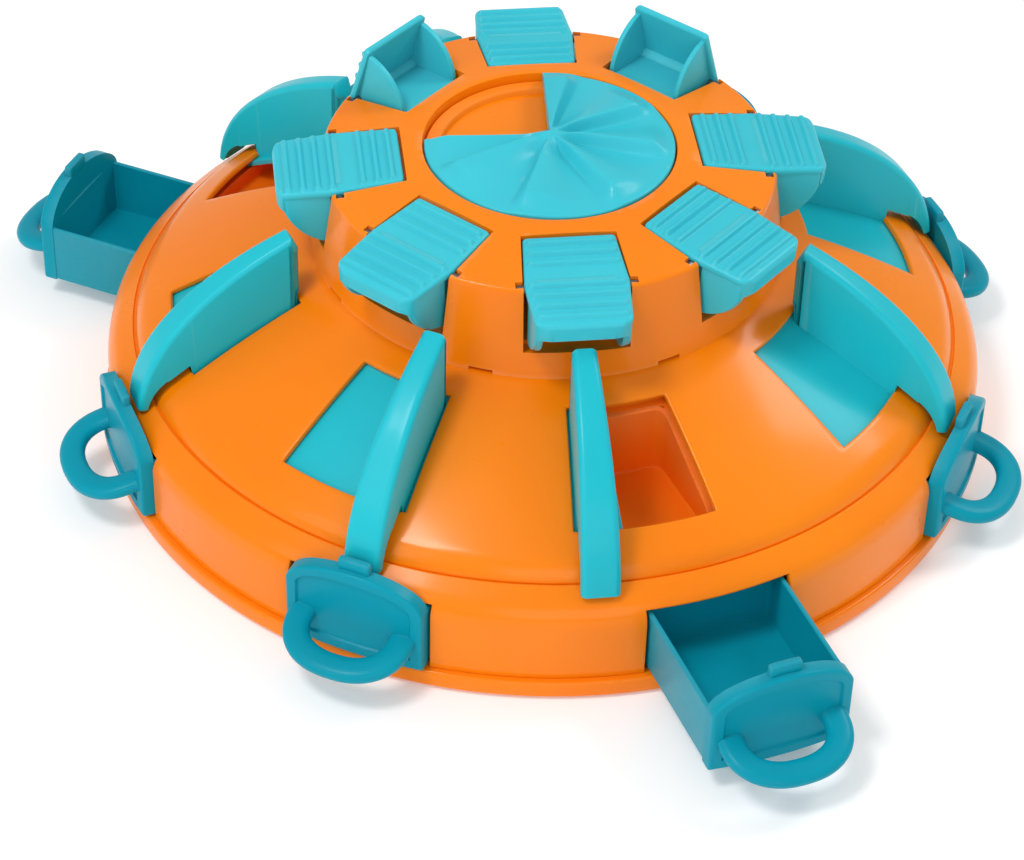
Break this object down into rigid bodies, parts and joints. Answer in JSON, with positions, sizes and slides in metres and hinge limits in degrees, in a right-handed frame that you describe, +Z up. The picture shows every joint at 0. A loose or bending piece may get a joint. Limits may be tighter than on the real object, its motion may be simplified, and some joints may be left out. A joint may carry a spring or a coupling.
{
  "type": "dog puzzle feeder toy",
  "caption": "Round domed dog puzzle feeder: rocking ribbed lids round a tower, sliding gates over treat wells, pull-out drawers and a turning centre disc with an open sector.",
  "frame": {"origin": "centre of the face that the object rests on, on the vertical axis that the disc turns about", "axes": "+Z up, out of the top of the tower; +X along the middle of the first drawer, pointing out of it"},
  "size_m": [0.3844, 0.4324, 0.1371],
  "materials": {
    "shell_orange": "glossy bright orange injection-moulded plastic",
    "lid_turquoise": "satin light turquoise plastic",
    "gate_turquoise": "satin turquoise plastic",
    "drawer_teal": "satin dark teal plastic",
    "pad_rubber": "matte grey rubber",
    "pin_steel": "plain steel"
  },
  "bodies": {
    "body": {"base_pan": "shell_orange", "base_wall": "shell_orange", "dome_cover": "shell_orange", "tower_crown": "shell_orange", "centre_bowl": "shell_orange", "spindle": "pin_steel", "well_tray_1": "shell_orange", "well_tray_2": "shell_orange", "well_tray_3": "shell_orange", "well_tray_4": "shell_orange", "well_tray_5": "shell_orange", "well_tray_6": "shell_orange", "well_tray_7": "shell_orange", "well_tray_8": "shell_orange", "hinge_pin_1": "pin_steel", "hinge_pin_2": "pin_steel", "hinge_pin_3": "pin_steel", "hinge_pin_4": "pin_steel", "hinge_pin_5": "pin_steel", "hinge_pin_6": "pin_steel", "hinge_pin_7": "pin_steel", "hinge_pin_8": "pin_steel", "rubber_foot_centre": "pad_rubber", "rubber_foot_1": "pad_rubber", "rubber_foot_2": "pad_rubber", "rubber_foot_3": "pad_rubber", "rubber_foot_4": "pad_rubber", "screw_1": "pin_steel", "screw_2": "pin_steel", "screw_3": "pin_steel", "screw_4": "pin_steel"},
    "disc": {"rotor_disc": "lid_turquoise"},
    "lid_1": {"lid_1": "lid_turquoise"},
    "gate_1": {"gate_1": "gate_turquoise"},
    "drawer_1": {"drawer_1": "drawer_teal"},
    "lid_2": {"lid_2": "lid_turquoise"},
    "gate_2": {"gate_2": "gate_turquoise"},
    "drawer_2": {"drawer_2": "drawer_teal"},
    "lid_3": {"lid_3": "lid_turquoise"},
    "gate_3": {"gate_3": "gate_turquoise"},
    "drawer_3": {"drawer_3": "drawer_teal"},
    "lid_4": {"lid_4": "lid_turquoise"},
    "gate_4": {"gate_4": "gate_turquoise"},
    "drawer_4": {"drawer_4": "drawer_teal"},
    "lid_5": {"lid_5": "lid_turquoise"},
    "gate_5": {"gate_5": "gate_turquoise"},
    "drawer_5": {"drawer_5": "drawer_teal"},
    "lid_6": {"lid_6": "lid_turquoise"},
    "gate_6": {"gate_6": "gate_turquoise"},
    "drawer_6": {"drawer_6": "drawer_teal"},
    "lid_7": {"lid_7": "lid_turquoise"},
    "gate_7": {"gate_7": "gate_turquoise"},
    "drawer_7": {"drawer_7": "drawer_teal"},
    "lid_8": {"lid_8": "lid_turquoise"},
    "gate_8": {"gate_8": "gate_turquoise"},
    "drawer_8": {"drawer_8": "drawer_teal"}
  },
  "joints": [
    {"name": "disc_spin", "type": "hinge", "parent": "body", "child": "disc", "pos_m": [0, 0, 0.119], "axis": [0, 0, 1], "continuous": true},
    {"name": "lid_1_rock", "type": "hinge", "parent": "body", "child": "lid_1", "pos_m": [0.07631, -0.02045, 0.113], "axis": [0.2588, 0.9659, 0], "range_deg": [0, 70]},
    {"name": "gate_1_swing", "type": "hinge", "parent": "body", "child": "gate_1", "pos_m": [0, 0, 0.06], "axis": [0, 0, 1], "range_deg": [-15, 0]},
    {"name": "drawer_1_slide", "type": "slide", "parent": "body", "child": "drawer_1", "axis": [-1, 0, 0], "range_m": [-0.048, 0]},
    {"name": "lid_2_rock", "type": "hinge", "parent": "body", "child": "lid_2", "pos_m": [0.06842, 0.0395, 0.113], "axis": [-0.5, 0.866, 0], "range_deg": [-70, 0]},
    {"name": "gate_2_swing", "type": "hinge", "parent": "body", "child": "gate_2", "pos_m": [0, 0, 0.06], "axis": [0, 0, 1], "range_deg": [-15, 0]},
    {"name": "drawer_2_slide", "type": "slide", "parent": "body", "child": "drawer_2", "axis": [-0.7071, -0.7071, 0], "range_m": [-0.048, 0]},
    {"name": "lid_3_rock", "type": "hinge", "parent": "body", "child": "lid_3", "pos_m": [0.02045, 0.07631, 0.113], "axis": [-0.9659, 0.2588, 0], "range_deg": [0, 70]},
    {"name": "gate_3_swing", "type": "hinge", "parent": "body", "child": "gate_3", "pos_m": [0, 0, 0.06], "axis": [0, 0, 1], "range_deg": [-15, 0]},
    {"name": "drawer_3_slide", "type": "slide", "parent": "body", "child": "drawer_3", "axis": [0, -1, 0], "range_m": [-0.048, 0]},
    {"name": "lid_4_rock", "type": "hinge", "parent": "body", "child": "lid_4", "pos_m": [-0.0395, 0.06842, 0.113], "axis": [-0.866, -0.5, 0], "range_deg": [-70, 0]},
    {"name": "gate_4_swing", "type": "hinge", "parent": "body", "child": "gate_4", "pos_m": [0, 0, 0.06], "axis": [0, 0, 1], "range_deg": [0, 15]},
    {"name": "drawer_4_slide", "type": "slide", "parent": "body", "child": "drawer_4", "axis": [0.7071, -0.7071, 0], "range_m": [-0.01, 0.038]},
    {"name": "lid_5_rock", "type": "hinge", "parent": "body", "child": "lid_5", "pos_m": [-0.07631, 0.02045, 0.113], "axis": [-0.2588, -0.9659, 0], "range_deg": [0, 70]},
    {"name": "gate_5_swing", "type": "hinge", "parent": "body", "child": "gate_5", "pos_m": [0, 0, 0.06], "axis": [0, 0, 1], "range_deg": [-15, 0]},
    {"name": "drawer_5_slide", "type": "slide", "parent": "body", "child": "drawer_5", "axis": [1, 0, 0], "range_m": [-0.048, 0]},
    {"name": "lid_6_rock", "type": "hinge", "parent": "body", "child": "lid_6", "pos_m": [-0.06842, -0.0395, 0.113], "axis": [0.5, -0.866, 0], "range_deg": [0, 70]},
    {"name": "gate_6_swing", "type": "hinge", "parent": "body", "child": "gate_6", "pos_m": [0, 0, 0.06], "axis": [0, 0, 1], "range_deg": [-15, 0]},
    {"name": "drawer_6_slide", "type": "slide", "parent": "body", "child": "drawer_6", "axis": [0.7071, 0.7071, 0], "range_m": [-0.048, 0]},
    {"name": "lid_7_rock", "type": "hinge", "parent": "body", "child": "lid_7", "pos_m": [-0.02045, -0.07631, 0.113], "axis": [0.9659, -0.2588, 0], "range_deg": [0, 70]},
    {"name": "gate_7_swing", "type": "hinge", "parent": "body", "child": "gate_7", "pos_m": [0, 0, 0.06], "axis": [0, 0, 1], "range_deg": [0, 15]},
    {"name": "drawer_7_slide", "type": "slide", "parent": "body", "child": "drawer_7", "axis": [0, 1, 0], "range_m": [0, 0.048]},
    {"name": "lid_8_rock", "type": "hinge", "parent": "body", "child": "lid_8", "pos_m": [0.0395, -0.06842, 0.113], "axis": [0.866, 0.5, 0], "range_deg": [0, 70]},
    {"name": "gate_8_swing", "type": "hinge", "parent": "body", "child": "gate_8", "pos_m": [0, 0, 0.06], "axis": [0, 0, 1], "range_deg": [-15, 0]},
    {"name": "drawer_8_slide", "type": "slide", "parent": "body", "child": "drawer_8", "axis": [-0.7071, 0.7071, 0], "range_m": [-0.048, 0]}
  ]
}
